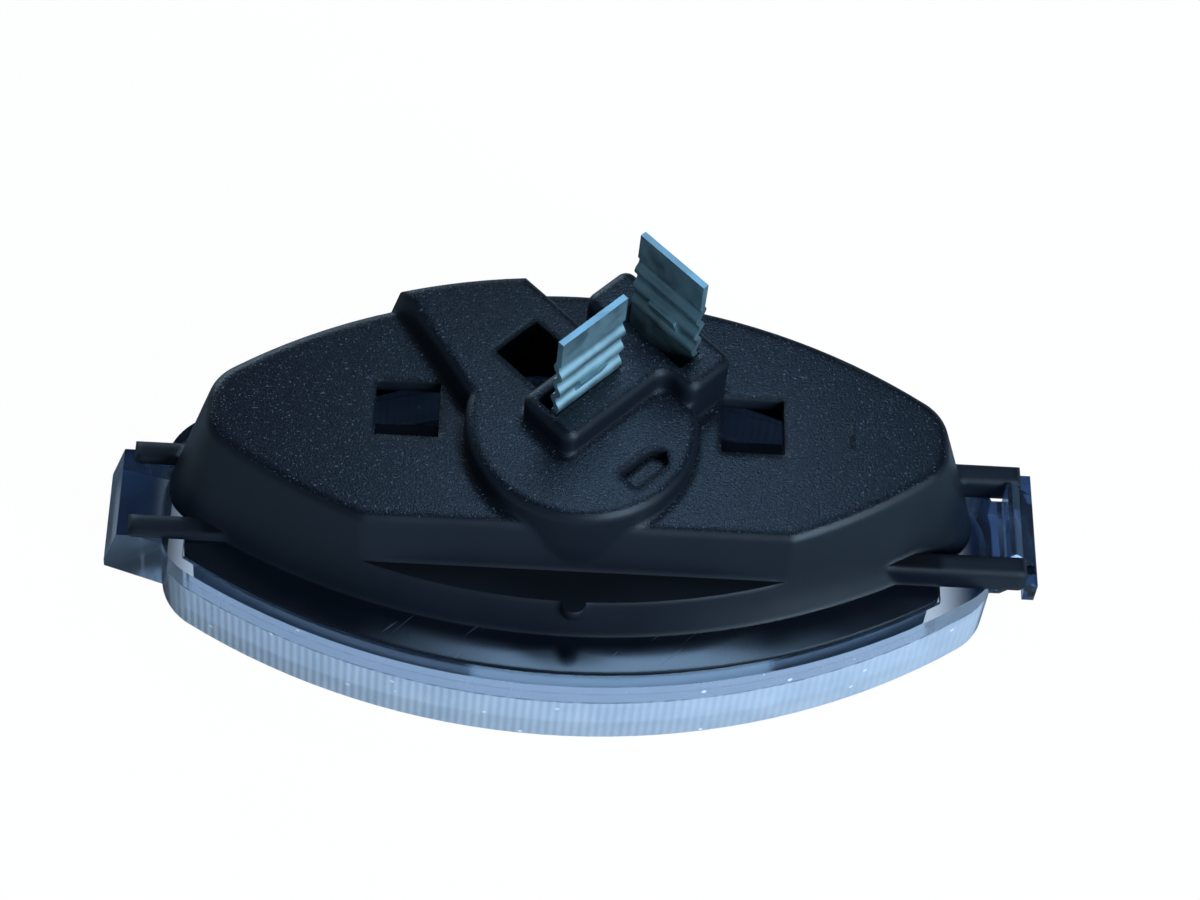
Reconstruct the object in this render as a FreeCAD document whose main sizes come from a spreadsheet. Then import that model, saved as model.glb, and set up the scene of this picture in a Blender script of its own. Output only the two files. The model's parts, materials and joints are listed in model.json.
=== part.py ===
import FreeCAD, Part
import Sketcher
import math
import os

# Number plate lamp, lens down, housing and contact blades up
# Millimetres, X along the lamp, Y to the back, Z up from the lens face
doc = FreeCAD.newDocument("plate_lamp")
sheet = doc.addObject("Spreadsheet::Sheet", "sizes")

values = {
    # lens
    "lens_half_width": 18.35,
    "lens_end": 5.2,
    "lens_right": 39.2,
    "left_short": 1.8,
    "lens_height": 9.2,
    "lens_wall": 1.3,
    "lens_shelf": 0.8,
    "lens_floor": 1.6,
    "lens_corner": 6.0,
    "lens_edge": 0.5,
    "seat_depth": 0.9,
    "fit_gap": 0.1,
    # end tabs of the lens
    "tab_reach": 3.3,
    "tab_drop": 3.8,
    "tab_root": 1.6,
    "nose_back": 0.7,
    "nose_flat": 0.4,
    "nose_rise": 3.0,
    "nose_side": 1.2,
    "plate_thick": 1.1,
    "tongue_half": 4.7,
    "tongue_lean": 1.3,
    "tongue_drop": 4.3,
    "tongue_lip": 0.9,
    # flange and dome of the housing
    "flange_thick": 1.2,
    "flange_left": 35.0,
    "flange_right": 33.6,
    "flange_corner": 1.4,
    "wall": 1.6,
    "dome_half_length": 36.8,
    "dome_front": 13.3,
    "dome_side": 1.6,
    "dome_back": 17.7,
    "back_side": 3.3,
    "dome_height": 9.9,
    "end_lean": 3.6,
    "front_lean": 1.5,
    "side_lean": 2.0,
    "dome_corner": 4.2,
    "rim_round": 0.9,
    "ledge_height": 4.7,
    "chord_front": 8.1,
    "chord_lean": 1.3,
    "pip_radius": 1.1,
    "pip_height": 1.4,
    # boss, neck and tee platform
    "boss_y": 1.5,
    "boss_radius": 10.4,
    "boss_height": 2.7,
    "boss_draft": 2.0,
    "boss_round": 0.8,
    "neck_near": 7.5,
    "neck_lean": 14.2,
    "neck_far": 7.3,
    "neck_draft": 16.0,
    "tee_turn": 45.0,
    "tee_axis": 1.05,
    "tee_height": 2.8,
    "tee_corner": 1.1,
    "tee_round": 0.8,
    "stem_near": 3.9,
    "stem_half": 3.15,
    "bar_near": 8.0,
    "bar_far": 13.5,
    "bar_left": 7.3,
    "bar_right": 6.5,
    # openings in the housing
    "window_x": 15.55,
    "window_y": 3.76,
    "window_long": 5.75,
    "window_deep": 6.0,
    "latch_near": 0.6,
    "latch_far": 4.5,
    "latch_deep": 6.4,
    "arrow_near": 1.5,
    "arrow_far": 2.5,
    "arrow_point": 3.3,
    "arrow_front": 8.4,
    "arrow_back": 6.2,
    "arrow_depth": 1.2,
    "slot_room": 1.7,
    "slot_gap": 0.15,
    # end arms of the housing
    "arm_y_left": 4.0,
    "arm_y_right": 5.0,
    "arm_thick": 2.1,
    "arm_short_left": 2.3,
    "arm_rise_left": 0.9,
    "arm_rise_right": 2.6,
    "arm_bury": 9.5,
    "arm_bevel": 0.4,
    "arm_round": 0.5,
    # contact strips
    "strip_thick": 0.6,
    "blade_width": 7.8,
    "blade_rise": 10.1,
    "ridge_start": 0.2,
    "ridge_pitch": 2.25,
    "ridge_rise": 0.24,
    "front_blade": 1.1,
    "rear_blade": 11.0,
    "lance_width": 3.2,
    "lance_low": 0.5,
    "lance_rise": 2.6,
    "lance_out": 0.6,
    "strap_inner": 3.2,
    "strap_width": 5.0,
    "clip_hole": 1.6,
    "clip_below": 3.0,
    # festoon bulb
    "bulb_half": 18.0,
    "bulb_y": 0.5,
    "bulb_z": 9.6,
    "glass_radius": 5.3,
    "glass_neck": 3.6,
    "glass_wall": 0.6,
    "glass_half": 12.6,
    "neck_long": 1.6,
    "shoulder_long": 1.9,
    "cap_radius": 4.25,
    "cap_round": 16.2,
    "cap_tip": 1.2,
    "lead_radius": 0.25,
    "coil_radius": 0.6,
    "coil_half": 4.0,
}


class Size:
    """A length that carries its number and the sheet expression it comes from."""

    def __init__(self, number, text):
        self.number = number
        self.text = text

    @staticmethod
    def of(other):
        return other if isinstance(other, Size) else Size(float(other), "(%r)" % float(other))

    def join(self, other, mark, number):
        return Size(number, "(%s %s %s)" % (self.text, mark, other.text))

    def __add__(self, other):
        other = Size.of(other)
        return self.join(other, "+", self.number + other.number)

    def __sub__(self, other):
        other = Size.of(other)
        return self.join(other, "-", self.number - other.number)

    def __mul__(self, other):
        other = Size.of(other)
        return self.join(other, "*", self.number * other.number)

    def __truediv__(self, other):
        other = Size.of(other)
        return self.join(other, "/", self.number / other.number)

    def __radd__(self, other):
        return Size.of(other) + self

    def __rsub__(self, other):
        return Size.of(other) - self

    def __rmul__(self, other):
        return Size.of(other) * self

    def __neg__(self):
        return Size(-self.number, "(0 - %s)" % self.text)

    def root(self):
        return Size(math.sqrt(self.number), "sqrt(%s)" % self.text)

    def slope(self):
        return Size(math.tan(math.radians(self.number)), "tan(%s * 1 deg)" % self.text)


class Sizes:
    pass


s = Sizes()
for row, (alias, number) in enumerate(values.items(), 1):
    sheet.set("A%d" % row, alias)
    sheet.set("B%d" % row, str(number))
    sheet.setAlias("B%d" % row, alias)
    setattr(s, alias, Size(number, "sizes." + alias))
doc.recompute()
zero = Size(0.0, "0")

# Levels that several pieces share
flange_bottom = s.lens_height - s.seat_depth
flange_top = flange_bottom + s.flange_thick
dome_top = flange_top + s.dome_height
ledge_top = flange_top + s.ledge_height
boss_top = dome_top + s.boss_height
tee_top = boss_top + s.tee_height
ceiling = dome_top - s.wall
ledge_under = ledge_top - s.wall
boss_ceiling = boss_top - s.wall
tip = s.lens_right + s.tab_reach
lens_left = s.lens_right - s.left_short
lens_fall = s.lens_half_width - s.lens_end
lens_arc = (s.lens_right * s.lens_right + lens_fall * lens_fall) / (2 * lens_fall)
left_arm_tip = tip - s.arm_short_left
right_arm_tip = tip - s.plate_thick - s.fit_gap


def bind(thing, path, size):
    thing.setExpression(path, size.text)


def body_named(label):
    body = doc.addObject("PartDesign::Body", label)
    body.Label = label
    return body


def sketch_on(body, name, level, plane="XY_Plane", turn=None, x=None, y=None):
    """A sketch on one of the body's own planes, lifted, shifted and turned about its normal."""
    drawing = body.newObject("Sketcher::SketchObject", name)
    support = [f for f in body.Origin.OriginFeatures if f.Role == plane][0]
    drawing.AttachmentSupport = (support, [""])
    drawing.MapMode = "FlatFace"
    base = FreeCAD.Vector(x.number if x else 0, y.number if y else 0, level.number)
    angle = turn.number if turn else 0
    drawing.AttachmentOffset = FreeCAD.Placement(base, FreeCAD.Rotation(FreeCAD.Vector(0, 0, 1), angle))
    bind(drawing, "AttachmentOffset.Base.z", level)
    if x:
        bind(drawing, "AttachmentOffset.Base.x", x)
    if y:
        bind(drawing, "AttachmentOffset.Base.y", y)
    if turn:
        bind(drawing, "AttachmentOffset.Rotation.Angle", turn)
    return drawing


def held(drawing, kind, where, size):
    index = drawing.addConstraint(Sketcher.Constraint(kind, *where, size.number))
    bind(drawing, "Constraints[%d]" % index, size)


def outline(drawing, corners):
    """A closed outline: each corner is (x, y) or (x, y, arc radius, side) for an arc to the next corner."""
    points = [FreeCAD.Vector(c[0].number, c[1].number, 0) for c in corners]
    first = drawing.GeometryCount
    count = len(corners)
    ends = []
    for i, corner in enumerate(corners):
        a, b = points[i], points[(i + 1) % count]
        if len(corner) == 2:
            drawing.addGeometry(Part.LineSegment(a, b), False)
            ends.append((1, 2))
            continue
        radius, side = corner[2].number, corner[3]
        middle = (a + b) * 0.5
        along = (b - a).normalize()
        half = (b - a).Length / 2
        out = FreeCAD.Vector(along.y, -along.x, 0) * side
        centre = middle - out * math.sqrt(radius * radius - half * half)
        angles = [math.atan2(end.y - centre.y, end.x - centre.x) for end in ((a, b) if side > 0 else (b, a))]
        whole = Part.Circle(centre, FreeCAD.Vector(0, 0, 1), radius)
        drawing.addGeometry(Part.ArcOfCircle(whole, *angles), False)
        ends.append((1, 2) if side > 0 else (2, 1))
    for i, corner in enumerate(corners):
        following = (i + 1) % count
        joint = (first + i, ends[i][1], first + following, ends[following][0])
        drawing.addConstraint(Sketcher.Constraint("Coincident", *joint))
    for i, corner in enumerate(corners):
        held(drawing, "DistanceX", (first + i, ends[i][0]), corner[0])
        held(drawing, "DistanceY", (first + i, ends[i][0]), corner[1])
        if len(corner) == 4:
            held(drawing, "Radius", (first + i,), corner[2])
    return drawing


def rectangle(drawing, x0, x1, y0, y1):
    return outline(drawing, [(x0, y0), (x1, y0), (x1, y1), (x0, y1)])


def circle(drawing, x, y, radius):
    centre = FreeCAD.Vector(x.number, y.number, 0)
    index = drawing.addGeometry(Part.Circle(centre, FreeCAD.Vector(0, 0, 1), radius.number), False)
    held(drawing, "DistanceX", (index, 3), x)
    held(drawing, "DistanceY", (index, 3), y)
    held(drawing, "Radius", (index,), radius)
    return drawing


def feature(body, kind, name, drawing, length, up=True, draft=None, middle=False):
    """Pads rise along the sketch normal and pockets cut down, unless turned over."""
    made = body.newObject("PartDesign::" + kind, name)
    made.Profile = drawing
    made.Length = length.number
    bind(made, "Length", length)
    made.Reversed = not up if kind == "Pad" else up
    made.Midplane = middle
    if draft:
        made.TaperAngle = draft.number
        bind(made, "TaperAngle", draft)
    drawing.Visibility = False
    return made


def dressed(body, kind, name, size, test):
    """A fillet or chamfer on the edges of the tip that pass the test."""
    doc.recompute()
    base = body.Tip
    edges = ["Edge%d" % (i + 1) for i, edge in enumerate(base.Shape.Edges) if test(edge)]
    made = body.newObject("PartDesign::" + kind, name)
    made.Base = (base, edges)
    measure = "Radius" if kind == "Fillet" else "Size"
    setattr(made, measure, size.number)
    bind(made, measure, size)
    doc.recompute()
    return made


def rounded(body, name, radius, test):
    return dressed(body, "Fillet", name, radius, test)


def bevelled(body, name, size, test):
    return dressed(body, "Chamfer", name, size, test)


def number(size):
    return size.number


def sag(arc, x):
    """How far an arc falls back from its crown at a distance x from the middle."""
    return arc - (arc * arc - x * x).root()


def arc_through(half, fall):
    """Radius of an arc that falls back by a given amount at a distance half from its middle."""
    return (half * half + fall * fall) / (2 * fall)


def softened(corners, radius):
    """An outline of square corners with every corner turned into a small arc."""
    made = []
    for i, (x, y) in enumerate(corners):
        before, after = corners[i - 1], corners[(i + 1) % len(corners)]
        arms = []
        for other in (before, after):
            dx, dy = other[0].number - x.number, other[1].number - y.number
            level = abs(dx) > abs(dy)
            step = radius * math.copysign(1, dx if level else dy)
            arms.append((x + step, y, dx, dy) if level else (x, y + step, dx, dy))
        enter, leave = arms
        turn = leave[2] * enter[3] - leave[3] * enter[2]
        made += [(enter[0], enter[1], radius, 1 if turn > 0 else -1), (leave[0], leave[1])]
    return made


def eye(drawing, half_width, arc, left, right):
    """An eye-shaped outline of two equal arcs and two straight ends."""
    y_left = half_width - sag(arc, left)
    y_right = half_width - sag(arc, right)
    corners = [(-left, -y_left, arc, 1), (right, -y_right), (right, y_right, arc, 1), (-left, y_left)]
    return outline(drawing, corners)


def level_edge(edge, z):
    return all(abs(v.Z - z.number) < 1e-4 for v in edge.Vertexes)


def upright(edge):
    if len(edge.Vertexes) != 2:
        return False
    a, b = edge.Vertexes[0].Point, edge.Vertexes[1].Point
    return abs(a.x - b.x) < 1e-4 and abs(a.y - b.y) < 1e-4


# Lens: a clear tray with a seat for the flange and a tab at each end
lens = body_named("lens")
tray = eye(sketch_on(lens, "TrayOutline", zero), s.lens_half_width, lens_arc, lens_left, s.lens_right)
feature(lens, "Pad", "Tray", tray, s.lens_height)
rounded(lens, "TrayCorners", s.lens_corner, upright)
bevelled(lens, "FaceEdge", s.lens_edge, lambda e: level_edge(e, zero))
inset = s.lens_wall + s.lens_shelf
hollow = eye(sketch_on(lens, "HollowOutline", s.lens_floor), s.lens_half_width - inset, lens_arc - inset,
             s.flange_left - s.lens_shelf, s.flange_right - s.lens_shelf)
feature(lens, "Pocket", "Hollow", hollow, s.lens_height - s.lens_floor, up=True)
seat = eye(sketch_on(lens, "SeatOutline", flange_bottom), s.lens_half_width - s.lens_wall, lens_arc - s.lens_wall,
           s.flange_left + s.fit_gap, s.flange_right + s.fit_gap)
feature(lens, "Pocket", "Seat", seat, s.seat_depth, up=True)
# snap tab at the right end: an upright nose between the arms and a plate across their tips
nose = sketch_on(lens, "NoseProfile", zero, "XZ_Plane")
nose_foot = s.lens_height - s.tab_drop
nose_x = s.lens_right + s.nose_back
nose_low = nose_foot + tip - nose_x
outline(nose, [
    (s.lens_right - s.tab_root, nose_foot),
    (nose_x, nose_foot),
    (tip, nose_low),
    (tip, s.lens_height + s.nose_side),
    (nose_x + s.nose_flat, s.lens_height + s.nose_rise),
    (nose_x, s.lens_height + s.nose_rise),
    (nose_x, s.lens_height),
    (s.lens_right - s.tab_root, s.lens_height),
])
between_arms = s.arm_y_right * 2 - s.arm_thick - s.fit_gap * 2
feature(lens, "Pad", "SnapTab", nose, between_arms, middle=True)
plate_half = s.arm_y_right + s.arm_thick / 2
plate = rectangle(sketch_on(lens, "PlateOutline", nose_low), tip - s.plate_thick, tip, -plate_half, plate_half)
feature(lens, "Pad", "TabPlate", plate, s.lens_height + s.nose_side - nose_low)
# tongue at the left end, leaning out to a blunt lip
tongue = sketch_on(lens, "TongueProfile", zero, "XZ_Plane")
lip_top = s.lens_height - s.tongue_drop
outline(tongue, [
    (-lens_left + s.tab_root, s.lens_height),
    (-tip + s.tongue_lean, s.lens_height),
    (-tip, lip_top),
    (-tip, lip_top - s.tongue_lip),
    (-lens_left + s.tab_root, s.lens_edge),
])
feature(lens, "Pad", "Tongue", tongue, s.tongue_half * 2, middle=True)

# Housing: flange, drafted dome, ledge, boss, neck and tee platform in one moulding
housing = body_named("housing")
rim = eye(sketch_on(housing, "FlangeOutline", flange_bottom), s.lens_half_width - s.lens_wall - s.fit_gap,
          lens_arc - s.lens_wall - s.fit_gap, s.flange_left, s.flange_right)
feature(housing, "Pad", "Flange", rim, s.flange_thick)
doc.recompute()
rounded(housing, "FlangeCorners", s.flange_corner, upright)
far_back = s.dome_back * 2
back_arc = arc_through(s.dome_half_length, s.dome_back - s.back_side)


def dome_at(lift):
    """Half length, front crown and front end corner of the dome at a height above the flange."""
    share = lift / s.dome_height
    half = s.dome_half_length - s.end_lean * share
    crown = s.dome_front - s.front_lean * share
    side = s.dome_side - s.side_lean * share
    return half, crown, side


def dome_outline(drawing, lift):
    """The dome's outline at a height above the flange: arched front, straight ends and rear."""
    half, crown, side = dome_at(lift)
    arc = arc_through(half, crown - side)
    return outline(drawing, [(-half, -side, arc, 1), (half, -side), (half, far_back), (-half, far_back)])


dome = housing.newObject("PartDesign::AdditiveLoft", "Dome")
dome.Profile = dome_outline(sketch_on(housing, "DomeFootOutline", flange_top), zero)
dome.Sections = [dome_outline(sketch_on(housing, "DomeHeadOutline", dome_top), s.dome_height)]
dome.Ruled = True
doc.recompute()
# a flat leaning front above a narrow ledge, running out into the arched wall at both ends
ledge = outline(sketch_on(housing, "LedgeProfile", zero, "YZ_Plane"), [
    (-s.chord_front - s.chord_lean, ledge_top), (-s.chord_front, dome_top), (-s.chord_front, boss_top),
    (-far_back, boss_top), (-far_back, ledge_top),
])
feature(housing, "Pocket", "FrontLedge", ledge, s.dome_half_length * 2, middle=True)
boss_foot = s.boss_radius + (boss_top - ledge_under) * s.boss_draft.slope()
boss = circle(sketch_on(housing, "BossOutline", ledge_under), zero, s.boss_y, boss_foot)
feature(housing, "Pad", "Boss", boss, boss_top - ledge_under, draft=-s.boss_draft)
tee_frame = dict(turn=s.tee_turn, x=zero, y=s.boss_y)
neck_foot = (boss_top - ceiling) * s.neck_draft.slope()
neck_slope = s.neck_lean.slope()
neck_edge = -s.neck_near - neck_foot * (1 + neck_slope * neck_slope).root()
neck = outline(sketch_on(housing, "NeckOutline", ceiling, **tee_frame), [
    (neck_edge, zero), (s.neck_far + neck_foot, zero), (s.neck_far + neck_foot, far_back),
    (neck_edge + far_back * neck_slope, far_back),
])
feature(housing, "Pad", "Neck", neck, boss_top - ceiling, draft=-s.neck_draft)
q0, q1 = s.tee_axis - s.stem_half, s.tee_axis + s.stem_half
b0, b1 = s.tee_axis - s.bar_right, s.tee_axis + s.bar_left
tee = outline(sketch_on(housing, "TeeOutline", ceiling, **tee_frame), softened([
    (-s.stem_near, q0), (s.bar_near, q0), (s.bar_near, b0), (s.bar_far, b0),
    (s.bar_far, b1), (s.bar_near, b1), (s.bar_near, q1), (-s.stem_near, q1),
], s.tee_corner))
feature(housing, "Pad", "Tee", tee, tee_top - ceiling)
# the back wall is upright, one arc for the dome and the neck
back_half = s.dome_half_length * 1.2
back_end = s.dome_back - sag(back_arc, back_half)
trim = outline(sketch_on(housing, "BackOutline", tee_top), [
    (back_half, back_end, back_arc, 1), (-back_half, back_end),
    (-back_half, far_back * 1.2), (back_half, far_back * 1.2),
])
feature(housing, "Pocket", "BackWall", trim, tee_top - flange_top, up=False)


def dome_corner(edge):
    box = edge.BoundBox
    tall = box.ZLength > s.dome_height.number * 0.9
    at_end = min(abs(box.XMin), abs(box.XMax)) > (s.dome_half_length - s.end_lean * 1.3).number
    return tall and at_end


def outer_rim(edge):
    """Edges round the top of the dome: the flat front and both ends."""
    if not level_edge(edge, dome_top):
        return False
    middle = edge.valueAt((edge.FirstParameter + edge.LastParameter) / 2)
    on_front = abs(middle.y + s.chord_front.number) < 1e-3
    half, crown, side = dome_at(s.dome_height)
    arc = arc_through(half, crown - side)
    flat = (arc * arc - (arc - crown + s.chord_front) * (arc - crown + s.chord_front)).root()
    at_end = abs(middle.x) > flat.number
    centre = (s.dome_back - back_arc).number
    on_back = abs(math.hypot(middle.x, middle.y - centre) - back_arc.number) < 1e-3
    return (on_front or at_end) and not on_back


rounded(housing, "DomeCorners", s.dome_corner, dome_corner)
rounded(housing, "DomeRim", s.rim_round, outer_rim)


def boss_rim(edge):
    """The boss arc, the neck's back arc and the neck's near side at the top of the boss."""
    if not level_edge(edge, boss_top):
        return False
    if edge.Curve.TypeId == "Part::GeomCircle":
        return edge.Length > s.stem_half.number
    middle = edge.valueAt((edge.FirstParameter + edge.LastParameter) / 2)
    angle = math.radians(s.tee_turn.number)
    rise = middle.y - s.boss_y.number
    along = middle.x * math.cos(angle) + rise * math.sin(angle)
    across = rise * math.cos(angle) - middle.x * math.sin(angle)
    near_side = across * neck_slope.number - s.neck_near.number
    return abs(along - near_side) < 1e-3 or abs(along - s.neck_far.number) < 1e-3


rounded(housing, "BossRim", s.boss_round, boss_rim)
rounded(housing, "TeeRim", s.tee_round, lambda e: level_edge(e, tee_top))
# a half-round pip on the front wall under the ledge
pip_y = -dome_at(s.ledge_height)[1]
pip = circle(sketch_on(housing, "PipOutline", ledge_top - s.pip_height), zero, pip_y, s.pip_radius)
feature(housing, "Pad", "Pip", pip, s.pip_height)
# arms that reach out over the lens ends
arm_root = s.dome_half_length - s.arm_bury
arm_ends = (("Left", -1, left_arm_tip, s.arm_y_left, s.arm_rise_left),
            ("Right", 1, right_arm_tip, s.arm_y_right, s.arm_rise_right))
for name, sign, reach, offset, rise in arm_ends:
    top = flange_top + rise
    for row, side in (("Front", -1), ("Back", 1)):
        # the sketch normal points to the front, so a place to the back is a negative level
        arm = sketch_on(housing, "Arm%s%s" % (name, row), -side * offset, "XZ_Plane")
        corners = [
            (sign * arm_root, flange_top), (sign * (reach - s.arm_bevel), flange_top),
            (sign * reach, flange_top + s.arm_bevel), (sign * reach, top - s.arm_bevel),
            (sign * (reach - s.arm_bevel), top), (sign * arm_root, top),
        ]
        outline(arm, corners)
        feature(housing, "Pad", "%s%sArm" % (name, row), arm, s.arm_thick, middle=True)


def arm_top_edge(edge):
    """Long top edges of the arms outside the dome's wall."""
    box = edge.BoundBox
    left = level_edge(edge, flange_top + s.arm_rise_left) and box.XMax < -arm_root.number
    right = level_edge(edge, flange_top + s.arm_rise_right) and box.XMin > arm_root.number
    return (left or right) and box.YLength < 1e-4


rounded(housing, "ArmTops", s.arm_round, arm_top_edge)


def hollow_outline(drawing, lift, front=None):
    """The inside of the dome at a height above the flange, with a flat front where one is given."""
    half, crown, side = dome_at(lift)
    front_arc = arc_through(half, crown - side) - s.wall
    rear_arc = back_arc - s.wall
    half = half - s.wall
    crown = crown - s.wall
    y_front = -crown + sag(front_arc, half)
    y_rear = s.dome_back - s.wall - sag(rear_arc, half)
    rear = [(half, y_rear, rear_arc, 1), (-half, y_rear)]
    if front is None:
        return outline(drawing, [(-half, y_front, front_arc, 1), (half, y_front)] + rear)
    # the arc stops where the flat front begins
    rise = front - front_arc + crown
    flat = (front_arc * front_arc - rise * rise).root()
    corners = [(-half, y_front, front_arc, 1), (-flat, front), (flat, front, front_arc, 1), (half, y_front)]
    return outline(drawing, corners + rear)


# hollow below, first to the ledge, then behind the flat front, then into the boss
low = hollow_outline(sketch_on(housing, "LowHollowOutline", flange_bottom), s.ledge_height)
feature(housing, "Pocket", "LowHollow", low, ledge_under - flange_bottom, up=True)
high = hollow_outline(sketch_on(housing, "HighHollowOutline", flange_bottom), s.dome_height,
                      s.wall - s.chord_front)
feature(housing, "Pocket", "HighHollow", high, ceiling - flange_bottom, up=True)
core = circle(sketch_on(housing, "BossHollowOutline", ceiling), zero, s.boss_y, s.boss_radius - s.wall)
feature(housing, "Pocket", "BossHollow", core, boss_ceiling - ceiling, up=True)

# openings cut down from above: blade slots, windows, latch recess and a blind arrow
half_blade = s.blade_width / 2
half_strip = s.strip_thick / 2
front_slot = rectangle(
    sketch_on(housing, "FrontSlotOutline", tee_top, **tee_frame),
    s.front_blade - half_blade - s.slot_gap, s.front_blade + half_blade + s.slot_gap,
    s.tee_axis - half_strip - s.slot_gap, s.tee_axis + half_strip + s.slot_room)
feature(housing, "Pocket", "FrontSlot", front_slot, tee_top - flange_bottom, up=False)
rear_slot = rectangle(
    sketch_on(housing, "RearSlotOutline", tee_top, **tee_frame),
    s.rear_blade - half_strip - s.slot_room, s.rear_blade + half_strip + s.slot_gap,
    s.tee_axis - half_blade - s.slot_gap, s.tee_axis + half_blade + s.slot_gap)
feature(housing, "Pocket", "RearSlot", rear_slot, tee_top - flange_bottom, up=False)
for name, sign in (("Left", -1), ("Right", 1)):
    x0 = sign * s.window_x - s.window_long / 2
    y0 = s.window_y - s.window_deep / 2
    window = rectangle(sketch_on(housing, name + "WindowOutline", dome_top),
                       x0, x0 + s.window_long, y0, y0 + s.window_deep)
    feature(housing, "Pocket", name + "Window", window, s.dome_height, up=False)
latch = rectangle(sketch_on(housing, "LatchOutline", boss_top, **tee_frame), -s.latch_near, s.latch_far,
                  q1, q1 + s.latch_deep)
feature(housing, "Pocket", "LatchRecess", latch, boss_top - flange_bottom, up=False)
arrow_middle = (s.arrow_front + s.arrow_back) / 2
arrow = outline(sketch_on(housing, "ArrowOutline", boss_top, **tee_frame), [
    (-s.arrow_near, -s.arrow_front), (s.arrow_far, -s.arrow_front), (s.arrow_point, -arrow_middle),
    (s.arrow_far, -s.arrow_back), (-s.arrow_near, -s.arrow_back),
])
feature(housing, "Pocket", "ArrowRecess", arrow, s.arrow_depth, up=False)
doc.recompute()

# Contact strips: a ridged blade, a strap under the dome's ceiling and a fork for the bulb's end
blade_top = tee_top + s.blade_rise
strap_under = ceiling - s.strip_thick
ridge_half = s.ridge_pitch / 4
ridge_arc = (ridge_half * ridge_half + s.ridge_rise * s.ridge_rise) / (2 * s.ridge_rise)
ridges = 6
cap_slope = (s.bulb_half - s.cap_round) / (s.cap_radius - s.cap_tip)
fork_x = s.cap_round + (s.cap_radius - s.clip_hole) * cap_slope


def blade_profile(drawing, middle):
    """The blade seen on edge: straight foot, alternating half-round ridges, straight crown."""
    low = tee_top + s.ridge_start
    levels = [low + s.ridge_pitch / 2 * i for i in range(ridges + 1)]
    left, right = middle - half_strip, middle + half_strip
    corners = [(left, strap_under), (right, strap_under)]
    corners += [(right, z, ridge_arc, 1 if i % 2 else -1) for i, z in enumerate(levels[:-1])]
    corners += [(right, levels[-1]), (right, blade_top), (left, blade_top)]
    turned = list(enumerate(levels[:-1]))[::-1]
    corners += [(left, levels[i + 1], ridge_arc, -1 if i % 2 else 1) for i, z in turned]
    corners += [(left, levels[0])]
    return outline(drawing, corners)


def lance_profile(drawing, middle):
    """A tongue of metal struck out of the blade, leaning away from it towards the top."""
    low = tee_top + s.lance_low
    high = low + s.lance_rise
    return outline(drawing, [(middle, low), (middle, high), (middle - half_strip - s.lance_out, high)])


def strip_body(label):
    body = body_named(label)
    body.Placement = FreeCAD.Placement(FreeCAD.Vector(0, s.boss_y.number, 0),
                                       FreeCAD.Rotation(FreeCAD.Vector(0, 0, 1), s.tee_turn.number))
    bind(body, "Placement.Base.y", s.boss_y)
    bind(body, "Placement.Rotation.Angle", s.tee_turn)
    return body


def strap_and_fork(body, sign, inner):
    """A straight strap along the lamp and a two-pronged leg for the bulb's end."""
    back = dict(turn=-s.tee_turn)
    y0 = s.bulb_y - s.boss_y - s.strap_width / 2
    y1 = y0 + s.strap_width
    outer = fork_x + s.strip_thick
    ends = sorted((sign * inner, sign * outer), key=number)
    strap = rectangle(sketch_on(body, "StrapOutline", ceiling, **back), ends[0], ends[1], y0, y1)
    feature(body, "Pad", "Strap", strap, s.strip_thick, up=False)
    ends = sorted((sign * fork_x, sign * outer), key=number)
    leg = rectangle(sketch_on(body, "LegOutline", ceiling, **back), ends[0], ends[1], y0, y1)
    feature(body, "Pad", "Leg", leg, ceiling - s.bulb_z - s.clip_hole, up=False)
    middle = s.bulb_y - s.boss_y
    prongs = (("FrontProng", y0, middle - s.clip_hole), ("BackProng", middle + s.clip_hole, y1))
    for name, a, b in prongs:
        prong = rectangle(sketch_on(body, name + "Outline", ceiling, **back), ends[0], ends[1], a, b)
        feature(body, "Pad", name, prong, ceiling - s.bulb_z + s.clip_below, up=False)


strip_left = strip_body("contact_strip_left")
front_profile = blade_profile(sketch_on(strip_left, "BladeProfile", s.front_blade, "YZ_Plane"), s.tee_axis)
feature(strip_left, "Pad", "Blade", front_profile, s.blade_width, middle=True)
front_lance = lance_profile(sketch_on(strip_left, "LanceProfile", s.front_blade, "YZ_Plane"), s.tee_axis)
feature(strip_left, "Pad", "Lance", front_lance, s.lance_width, middle=True)
foot = rectangle(sketch_on(strip_left, "FootOutline", ceiling), s.front_blade - half_blade,
                 s.front_blade + half_strip * 4, s.tee_axis, s.tee_axis + s.strap_width - half_strip)
feature(strip_left, "Pad", "Foot", foot, s.strip_thick, up=False)
strap_and_fork(strip_left, -1, s.strap_inner)

strip_right = strip_body("contact_strip_right")
rear_profile = blade_profile(sketch_on(strip_right, "BladeProfile", -s.tee_axis, "XZ_Plane"), s.rear_blade)
feature(strip_right, "Pad", "Blade", rear_profile, s.blade_width, middle=True)
rear_lance = lance_profile(sketch_on(strip_right, "LanceProfile", -s.tee_axis, "XZ_Plane"), s.rear_blade)
feature(strip_right, "Pad", "Lance", rear_lance, s.lance_width, middle=True)
foot = rectangle(sketch_on(strip_right, "FootOutline", ceiling), s.front_blade + s.strap_width,
                 s.rear_blade + half_strip, s.tee_axis - half_blade - s.strap_width + half_strip * 4,
                 s.tee_axis - half_strip * 3)
feature(strip_right, "Pad", "Foot", foot, s.strip_thick, up=False)
strap_and_fork(strip_right, 1, s.strap_width + half_strip * 4)
doc.recompute()


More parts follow.
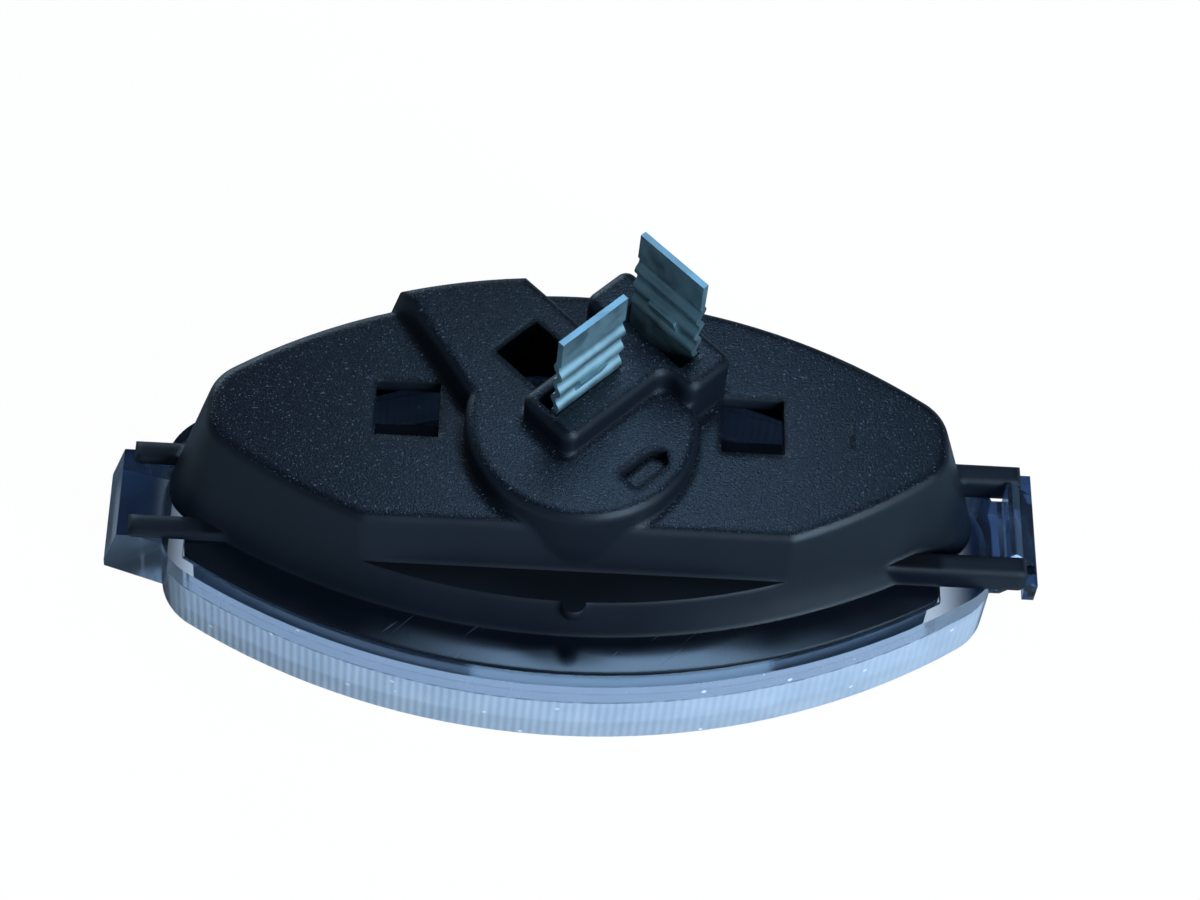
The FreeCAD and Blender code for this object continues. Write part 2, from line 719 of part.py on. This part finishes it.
# Festoon bulb: glass tube, two pressed caps and a coiled filament on its leads
def turned_body(label, corners):
    body = body_named(label)
    body.Placement = FreeCAD.Placement(FreeCAD.Vector(0, s.bulb_y.number, s.bulb_z.number), FreeCAD.Rotation())
    bind(body, "Placement.Base.y", s.bulb_y)
    bind(body, "Placement.Base.z", s.bulb_z)
    half = outline(sketch_on(body, "HalfOutline", zero, "XZ_Plane"), corners)
    made = body.newObject("PartDesign::Revolution", "Turned")
    made.Profile = half
    made.ReferenceAxis = (half, ["H_Axis"])
    made.Angle = 360
    half.Visibility = False
    return body


glass_half_shape = [
    (s.glass_half, s.lead_radius), (s.glass_half, s.glass_neck),
    (s.glass_half - s.neck_long, s.glass_neck), (s.glass_half - s.neck_long - s.shoulder_long, s.glass_radius),
]
glass_inner_shape = [
    (s.glass_half - s.neck_long - s.shoulder_long, s.glass_radius - s.glass_wall),
    (s.glass_half - s.neck_long, s.lead_radius),
]


def mirrored(corners):
    return [(-x, r) for x, r in corners[::-1]]


glass = turned_body("bulb_glass", glass_half_shape + mirrored(glass_half_shape)
                    + mirrored(glass_inner_shape) + glass_inner_shape)
cap_start = s.glass_half - s.neck_long
cap_shape = [
    (s.glass_half, zero), (s.bulb_half, zero), (s.bulb_half, s.cap_tip), (s.cap_round, s.cap_radius),
    (cap_start, s.cap_radius), (cap_start, s.glass_neck), (s.glass_half, s.glass_neck),
]
cap_left = turned_body("bulb_cap_left", mirrored(cap_shape))
cap_right = turned_body("bulb_cap_right", cap_shape)
lead_shape = [(s.coil_half, s.coil_radius), (s.coil_half, s.lead_radius), (s.glass_half, s.lead_radius),
              (s.glass_half, zero)]
filament = turned_body("bulb_filament", lead_shape + mirrored(lead_shape))
doc.recompute()

# Every object has to be whole before the files are written
for thing in doc.Objects:
    if "Invalid" in thing.State or "Error" in thing.State:
        raise RuntimeError("%s is not right: %s" % (thing.Name, thing.State))
os.makedirs("parts", exist_ok=True)
for piece in (lens, housing, strip_left, strip_right, glass, cap_left, cap_right, filament):
    shape = piece.Shape
    if shape.isNull() or not shape.isValid() or len(shape.Solids) != 1:
        raise RuntimeError("%s is not one whole solid: %d" % (piece.Label, len(shape.Solids)))
    shape.exportStep("parts/%s.step" % piece.Label)
    print(piece.Label, round(shape.Volume, 1))
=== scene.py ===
import json
import math

import bmesh
import bpy
from mathutils import Matrix, Vector


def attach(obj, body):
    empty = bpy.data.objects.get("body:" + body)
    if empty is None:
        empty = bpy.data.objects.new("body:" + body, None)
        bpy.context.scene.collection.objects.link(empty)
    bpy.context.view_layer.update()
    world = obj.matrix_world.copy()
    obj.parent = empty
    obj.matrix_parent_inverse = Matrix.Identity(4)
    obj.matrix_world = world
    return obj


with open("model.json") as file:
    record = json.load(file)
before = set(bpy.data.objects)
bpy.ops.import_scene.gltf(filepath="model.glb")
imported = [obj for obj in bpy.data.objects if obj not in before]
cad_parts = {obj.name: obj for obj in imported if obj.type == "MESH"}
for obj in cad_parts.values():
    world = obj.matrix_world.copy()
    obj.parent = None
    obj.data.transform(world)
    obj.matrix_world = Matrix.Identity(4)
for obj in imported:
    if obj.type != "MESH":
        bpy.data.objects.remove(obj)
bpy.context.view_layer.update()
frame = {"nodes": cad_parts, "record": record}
nodes = frame["nodes"]
scene = bpy.context.scene
MM = 0.001

# Camera at the photo's view, with lengths in mm
VIEW_WIDTH = 1200
PIXELS_PER_MM = 10.8
SENSOR_WIDTH = 36.0
CAMERA_DISTANCE = 320.4
CAMERA_ELEVATION = math.radians(55.21)
CAMERA_AZIMUTH = math.radians(-5.51)
CAMERA_ROLL = math.radians(7.5)
CAMERA_TARGET = Vector((2.404, 6.766, 10.0))

# Places on the lamp that its finishes follow
FLANGE_TOP = 9.5 * MM
DOME_TOP = 19.4 * MM
LEDGE_END = 34.0 * MM
LENS_ARC = 65.0 * MM
LENS_HALF_WIDTH = 18.35 * MM
LENS_CENTRE = LENS_ARC - LENS_HALF_WIDTH
LENS_END = 39.2 * MM
LENS_PARTING = 6.5 * MM
PARTING_LINE = 0.22 * MM
FLUTE_PITCH = 0.75 * MM

# Raised mould number on the dome
NUMBER_SIZE = 3.5 * MM
NUMBER_RISE = 0.10 * MM
NUMBER_EDGE = 0.05 * MM
NUMBER_PLACE = Vector((24.6, 3.3, 19.4)) * MM
WELD = 0.001 * MM

# Floor and light
FLOOR_HALF_WIDTH = 3.0
FLOOR_DROP = 0.02 * MM
FLOOR_GLOW = 1.04
LAMP_MIDDLE = (0, 0, 0.01)
COOL = (0.56, 0.78, 1.0)
BLUE = (0.38, 0.64, 1.0)


def colour(red, green, blue):
    return (red, green, blue, 1)


# Colours of the finishes, with painted glints and painted shade among them
BLACK = colour(0.0018, 0.0034, 0.0072)
SCRATCH_AND_GLINT = colour(0.14, 0.19, 0.26)
LEDGE_SHADE_DARK = colour(0.0018, 0.0024, 0.0042)
LEDGE_SHADE_PALE = colour(0.0040, 0.0050, 0.0080)
LENS_TINT = colour(0.52, 0.66, 0.86)
LENS_LINE = colour(0.25, 0.32, 0.42)
MILK_DARK = colour(0.63, 0.67, 0.75)
MILK_PALE = colour(0.81, 0.82, 0.88)
MILK_LINE = colour(0.16, 0.22, 0.32)
PLATE_DARK = colour(0.26, 0.40, 0.44)
PLATE_PALE = colour(0.40, 0.55, 0.58)
PLATE_SHADED = colour(0.012, 0.014, 0.018)
CAP_DARK = colour(0.62, 0.60, 0.55)
CAP_PALE = colour(0.76, 0.74, 0.68)
COIL_DARK = colour(0.20, 0.20, 0.21)
COIL_PALE = colour(0.34, 0.34, 0.35)
PAINT_DARK = colour(0.50, 0.51, 0.52)
PAINT_PALE = colour(0.54, 0.55, 0.56)
SHADE_UNDER_LAMP = colour(0.01, 0.012, 0.016)
SHADE_PAST_ENDS = colour(0.08, 0.11, 0.18)
WHITE = colour(1.0, 1.0, 1.0)


class Value:
    """A shader socket that can be used in sums."""

    def __init__(self, tree, socket):
        self.tree = tree
        self.socket = socket

    def node(self, kind, inputs=(), output=0, **settings):
        made = self.tree.nodes.new(kind)
        for key, value in settings.items():
            setattr(made, key, value)
        pairs = inputs.items() if isinstance(inputs, dict) else enumerate(inputs)
        for key, value in pairs:
            if isinstance(value, Value):
                self.tree.links.new(value.socket, made.inputs[key])
            else:
                made.inputs[key].default_value = value
        return Value(self.tree, made.outputs[output])

    def maths(self, operation, *others):
        return self.node("ShaderNodeMath", (self,) + others, operation=operation)

    def __add__(self, other):
        return self.maths("ADD", other)

    __radd__ = __add__

    def __mul__(self, other):
        return self.maths("MULTIPLY", other)

    __rmul__ = __mul__

    def __sub__(self, other):
        return self.maths("SUBTRACT", other)

    def __rsub__(self, other):
        return self.node("ShaderNodeMath", (other, self), operation="SUBTRACT")

    def size(self):
        return self.maths("ABSOLUTE")

    def step(self, low, high, start=0.0, end=1.0):
        """Goes from start to end as this goes from low to high."""
        return self.node("ShaderNodeMapRange", (self, low, high, start, end), clamp=True,
                         interpolation_type="SMOOTHSTEP")

    def fall(self, low, high):
        """Goes from one to nothing as this goes from low to high."""
        return self.step(low, high, start=1.0, end=0.0)

    def mix(self, low, high):
        """A colour between two colours, by this value."""
        return self.node("ShaderNodeMix", {0: self, 6: low, 7: high}, output=2, data_type="RGBA")


def material(name, **constants):
    """A new material, its shader, and the coordinates and normal that its patterns read."""
    made = bpy.data.materials.new(name)
    made.use_nodes = True
    tree = made.node_tree
    shader = tree.nodes["Principled BSDF"]
    for key, value in constants.items():
        shader.inputs[key.replace("_", " ")].default_value = value
    source = tree.nodes.new("ShaderNodeTexCoord")
    coords = Value(tree, source.outputs["Object"])
    normal = Value(tree, source.outputs["Normal"])
    return made, shader, coords, normal


def feed(shader, name, value):
    value.tree.links.new(value.socket, shader.inputs[name])


def axis(vector, index):
    return vector.node("ShaderNodeSeparateXYZ", (vector,), output=index)


def axes(vector):
    return [axis(vector, index) for index in range(3)]


def noise(coords, scale, detail=2.0, rough=0.5):
    inputs = {"Vector": coords, "Scale": scale, "Detail": detail, "Roughness": rough}
    return coords.node("ShaderNodeTexNoise", inputs)


def bump(height, strength, distance, **below):
    inputs = {"Strength": strength, "Distance": distance, "Height": height}
    return height.node("ShaderNodeBump", inputs | below)


def length(across, along):
    return (across * across + along * along).maths("SQRT")


def join_shaders(share, shader, second):
    """Shows the material's own shader, with that share of the second."""
    tree = share.tree
    joined = share.node("ShaderNodeMixShader", (share, Value(tree, shader.outputs[0]), second))
    feed(tree.nodes["Material Output"], "Surface", joined)


def black_plastic():
    """Black moulding: grained on top with painted glint specks, satin on the walls, darkened on the ledge as
    painted shade, glossy on the flange.
    """
    made, shader, coords, normal = material("black_plastic", Specular_IOR_Level=0.4, Coat_Roughness=0.18)
    x, y, z = axes(coords)

    # Masks of the moulding's surfaces
    facing_up = axis(normal, 2).step(0.75, 0.95)
    on_flange = z.fall(FLANGE_TOP + 0.02 * MM, FLANGE_TOP + 0.25 * MM) * facing_up
    on_top = facing_up * z.step(DOME_TOP - 3.0 * MM, DOME_TOP - 2.0 * MM)
    on_wall = 1.0 - on_top - on_flange
    on_ledge = (facing_up - on_top - on_flange) * x.size().fall(LEDGE_END - 1.0 * MM, LEDGE_END)

    # Patterns
    grain = noise(coords, scale=5200.0, detail=2.0, rough=0.6)
    # Painted glints: pale specks in the top's colour stand in for the sparkle of light on the grain
    glint_speck = noise(coords, scale=4600.0, detail=1.0).step(0.66, 0.74)
    coarse = noise(coords, scale=900.0)
    cloud = noise(coords, scale=120.0, detail=3.0)
    along_scratch = coords.node("ShaderNodeCombineXYZ", ((x - y) * 3.0, (x + y) * 0.12, z))
    scratched_patch = noise(coords, scale=110.0).step(0.52, 0.62) * on_flange
    scratch = noise(along_scratch, scale=900.0, detail=1.0).step(0.70, 0.76) * scratched_patch

    # The top's pale specks are painted glints; the flange's pale scratches are wear
    pale_share = cloud * 0.02 + on_wall * 0.02 + scratch * 0.5 + glint_speck * on_top * 0.65
    feed(shader, "Base Color", pale_share.mix(BLACK, SCRATCH_AND_GLINT))
    rough_top = grain.step(0.3, 0.7, start=0.24, end=0.38)
    rough_wall = cloud.step(0.3, 0.7, start=0.40, end=0.48)
    rough_flange = cloud.step(0.35, 0.65, start=0.14, end=0.28) + scratch * 0.3
    feed(shader, "Roughness", on_top * rough_top + on_flange * rough_flange + on_wall * rough_wall)
    feed(shader, "Coat Weight", on_flange * cloud.step(0.3, 0.7, start=0.4, end=0.9))

    # Shading rounds the edges, less so on the thin flange
    edge_radius = on_flange.step(0.0, 1.0, start=1.1 * MM, end=0.25 * MM)
    soft_edge = coords.node("ShaderNodeBevel", {"Radius": edge_radius}, samples=6)
    height = (grain + glint_speck) * on_top + coarse * (1.0 - on_top) * (0.16 - on_flange * 0.14)
    feed(shader, "Normal", bump(height, strength=0.75, distance=0.06 * MM, Normal=soft_edge))

    # Painted shade: a darker, less shiny shader on the ledge stands in for the shade that the dome above
    # throws on it
    ledge_shade_colour = cloud.mix(LEDGE_SHADE_DARK, LEDGE_SHADE_PALE)
    ledge_shade = coords.node("ShaderNodeBsdfPrincipled",
                       {"Specular IOR Level": 0.2, "Roughness": 0.7, "Base Color": ledge_shade_colour})
    join_shaders(on_ledge, shader, ledge_shade)
    return made


def clear_lens():
    """Clear, faintly blue moulding: clear above its parting line, frosted flutes below, a few bright dots."""
    made, shader, coords, normal = material("clear_lens", Transmission_Weight=1.0, IOR=1.49)
    x, y, z = axes(coords)

    # Masks of the curved outer wall, which follows an arc at the front and at the back
    reach = y.size() + LENS_CENTRE
    upright = axis(normal, 2).size().fall(0.1, 0.4)
    between_ends = x.size().fall(LENS_END - 0.5 * MM, LENS_END)
    at_arc = length(x, reach).step(LENS_ARC - 0.7 * MM, LENS_ARC - 0.3 * MM)
    outer = at_arc * upright * between_ends
    low = z.fall(LENS_PARTING - PARTING_LINE, LENS_PARTING + PARTING_LINE)

    # Patterns
    waves_per_turn = 2 * math.pi * LENS_ARC / FLUTE_PITCH
    wave = (x.maths("ARCTAN2", reach) * waves_per_turn).maths("SINE")
    worn = noise(coords, scale=900.0).step(0.35, 0.6, start=0.3, end=1.0)
    line = (z - LENS_PARTING).size().fall(0.0, PARTING_LINE) * worn
    dot = coords.node("ShaderNodeTexVoronoi", {"Vector": coords, "Scale": 380.0}).fall(0.07, 0.11)
    frost = (noise(coords, scale=250.0, detail=3.0) + wave * 0.08).step(0.2, 0.8)
    flutes = bump(wave * outer * low, strength=0.22, distance=0.1 * MM)

    feed(shader, "Base Color", line.mix(LENS_TINT, LENS_LINE))
    feed(shader, "Roughness", low.step(0.0, 1.0, start=0.05, end=0.2))
    feed(shader, "Normal", flutes)

    milk_colour = dot.mix(line.mix(frost.mix(MILK_DARK, MILK_PALE), MILK_LINE), WHITE)
    milk = coords.node("ShaderNodeBsdfPrincipled",
                       {"Roughness": 0.3, "Base Color": milk_colour, "Normal": flutes})
    milky = (outer * (low * 0.5 + 0.25)).maths("MAXIMUM", dot * outer)
    join_shaders(milky, shader, milk)
    return made


def contact_metal():
    """Dull plated strip, painted near black below the dome as painted shade."""
    made, shader, coords, normal = material("contact_metal", Metallic=1.0)
    streak = noise(coords, scale=700.0, detail=3.0)
    # Painted shade: below the dome the strip's colour goes near black, for the shade within the housing
    painted_shade_below_dome = axis(coords, 2).fall(DOME_TOP, DOME_TOP + 2.0 * MM)
    feed(shader, "Base Color", painted_shade_below_dome.mix(streak.mix(PLATE_DARK, PLATE_PALE), PLATE_SHADED))
    rough = noise(coords, scale=350.0).step(0.3, 0.7, start=0.46, end=0.62)
    feed(shader, "Roughness", rough + painted_shade_below_dome * 0.2)
    feed(shader, "Normal", bump(streak, strength=0.15, distance=0.02 * MM))
    return made


def bulb_clear():
    """Clear bulb glass."""
    made, shader, coords, normal = material("bulb_clear", Transmission_Weight=1.0, IOR=1.5)
    feed(shader, "Roughness", noise(coords, scale=200.0).step(0.3, 0.7, start=0.0, end=0.04))
    return made


def cap_metal():
    """Bright bulb caps."""
    made, shader, coords, normal = material("cap_metal", Metallic=1.0)
    feed(shader, "Base Color", noise(coords, scale=400.0).mix(CAP_DARK, CAP_PALE))
    feed(shader, "Roughness", noise(coords, scale=500.0).step(0.3, 0.7, start=0.2, end=0.35))
    return made


def coil_metal():
    """Grey filament."""
    made, shader, coords, normal = material("coil_metal", Metallic=1.0, Roughness=0.4)
    feed(shader, "Base Color", noise(coords, scale=900.0).mix(COIL_DARK, COIL_PALE))
    return made


def floor_white():
    """Pale paint, white to the camera. Through the lens it glows white in front of the lens and, as painted
    light, a little under its front edge; elsewhere under the lamp it is painted shade.
    """
    made, shader, coords, normal = material("floor_white", Roughness=0.9, Specular_IOR_Level=0.1)
    x, y, z = axes(coords)
    past_end = x.size().step(LENS_END - 6.0 * MM, LENS_END - 1.0 * MM)
    at_front = length(x, y - LENS_CENTRE).step(LENS_ARC - 13.0 * MM, LENS_ARC - 9.0 * MM)
    in_front = at_front * (1.0 - past_end)

    # Which rays look at the floor
    rays = made.node_tree.nodes.new("ShaderNodeLightPath")
    to_camera, through, diffuse, glossy = (
        Value(made.node_tree, rays.outputs[name])
        for name in ("Is Camera Ray", "Is Transmission Ray", "Diffuse Depth", "Glossy Depth"))
    straight = through * (diffuse + glossy).fall(0.4, 0.6)

    paint = noise(coords, scale=6.0).mix(PAINT_DARK, PAINT_PALE)
    # Painted shade: through the lens, the floor under the lamp is near black, and a bluish dark past the lens
    # ends
    under = past_end.mix(SHADE_UNDER_LAMP, SHADE_PAST_ENDS)
    feed(shader, "Base Color", (through * (1.0 - in_front)).mix(paint, under))
    glow = coords.node("ShaderNodeEmission", {"Color": WHITE, "Strength": FLOOR_GLOW})
    # Painted light: the glow through the lens reaches some 9 to 13 mm under the lens's front edge
    seen = to_camera.maths("MAXIMUM", straight * in_front * 0.85)
    join_shaders(seen * 0.94, shader, glow)
    return made


def new_object(name, data):
    made = bpy.data.objects.new(name, data)
    scene.collection.objects.link(made)
    return made


def number_mesh():
    """A plain digit, upside down to the front, in its place on the dome."""
    words = bpy.data.curves.new("number", "FONT")
    words.body = "1"
    words.align_x = "CENTER"
    words.align_y = "CENTER"
    words.size = NUMBER_SIZE
    words.extrude = NUMBER_RISE
    words.bevel_depth = NUMBER_EDGE
    words.bevel_resolution = 1
    writing = new_object("writing", words)
    bpy.context.view_layer.update()
    finished = writing.evaluated_get(bpy.context.evaluated_depsgraph_get())
    mesh = bpy.data.meshes.new_from_object(finished)
    bpy.data.objects.remove(writing)
    mesh.transform(Matrix.Translation(NUMBER_PLACE) @ Matrix.Rotation(math.pi, 4, "Z"))
    welded = bmesh.new()
    welded.from_mesh(mesh)
    bmesh.ops.remove_doubles(welded, verts=welded.verts, dist=WELD)
    bmesh.ops.recalc_face_normals(welded, faces=welded.faces)
    welded.to_mesh(mesh)
    welded.free()
    return mesh


def floor_mesh():
    """One square just below the lamp."""
    mesh = bpy.data.meshes.new("floor")
    square = bmesh.new()
    bmesh.ops.create_grid(square, x_segments=1, y_segments=1, size=FLOOR_HALF_WIDTH,
                          matrix=Matrix.Translation((0, 0, -FLOOR_DROP)))
    square.to_mesh(mesh)
    square.free()
    return mesh


def finish(piece, look):
    piece.data.materials.clear()
    piece.data.materials.append(look)


def place_camera():
    """Looks at the target from the photo's side, rolled as the photo is."""
    level = math.cos(CAMERA_ELEVATION)
    back = Vector((math.sin(CAMERA_AZIMUTH) * level, -math.cos(CAMERA_AZIMUTH) * level,
                   math.sin(CAMERA_ELEVATION)))
    right = (-back).cross(Vector((0, 0, 1))).normalized()
    up = right.cross(-back)
    turned_right = right * math.cos(CAMERA_ROLL) + up * math.sin(CAMERA_ROLL)
    turned_up = up * math.cos(CAMERA_ROLL) - right * math.sin(CAMERA_ROLL)
    place = Matrix((turned_right, turned_up, back)).transposed().to_4x4()
    place.translation = (CAMERA_TARGET + back * CAMERA_DISTANCE) * MM
    data = bpy.data.cameras.new("camera")
    data.sensor_fit = "HORIZONTAL"
    data.sensor_width = SENSOR_WIDTH
    data.lens = PIXELS_PER_MM * CAMERA_DISTANCE / VIEW_WIDTH * SENSOR_WIDTH
    data.clip_start = 0.01
    data.clip_end = 20.0
    camera = new_object("camera", data)
    camera.matrix_world = place
    scene.camera = camera


def area_light(name, place, aim, size, watts, tint):
    data = bpy.data.lights.new(name, "AREA")
    data.shape = "RECTANGLE"
    data.size, data.size_y = size
    data.energy = watts
    data.color = tint
    lamp = new_object(name, data)
    lamp.location = place
    lamp.rotation_euler = (Vector(aim) - Vector(place)).to_track_quat("-Z", "Y").to_euler()


def soft_sky(tint, strength):
    world = bpy.data.worlds.new("world")
    scene.world = world
    world.use_nodes = True
    sky = world.node_tree.nodes["Background"]
    sky.inputs["Color"].default_value = colour(*tint)
    sky.inputs["Strength"].default_value = strength


place_camera()

# Finishes of the pieces, by their slots
finishes = {"black_plastic": black_plastic(), "clear_lens": clear_lens(), "contact_metal": contact_metal(),
            "bulb_clear": bulb_clear(), "cap_metal": cap_metal(), "coil_metal": coil_metal()}
for row in frame["record"]["subparts"]:
    finish(nodes[row["node"]], finishes[row["material_slot"]])

number = new_object("mould_number", number_mesh())
finish(number, finishes["black_plastic"])
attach(number, "root")

floor = new_object("floor", floor_mesh())
finish(floor, floor_white())

# Key from the front right, a near strip that the flange and the dome reflect, and a low fill from behind
area_light("key", place=(0.42, -0.52, 0.36), aim=LAMP_MIDDLE, size=(0.35, 0.35), watts=6.7, tint=COOL)
area_light("strip", place=(0.013, 0.046, 0.12), aim=(0.013, 0.046, 0), size=(0.038, 0.045), watts=0.036,
           tint=BLUE)
area_light("fill", place=(-0.35, 0.75, 0.22), aim=LAMP_MIDDLE, size=(0.5, 0.3), watts=3.0, tint=COOL)
soft_sky(COOL, strength=0.10)
scene.view_settings.view_transform = "Standard"
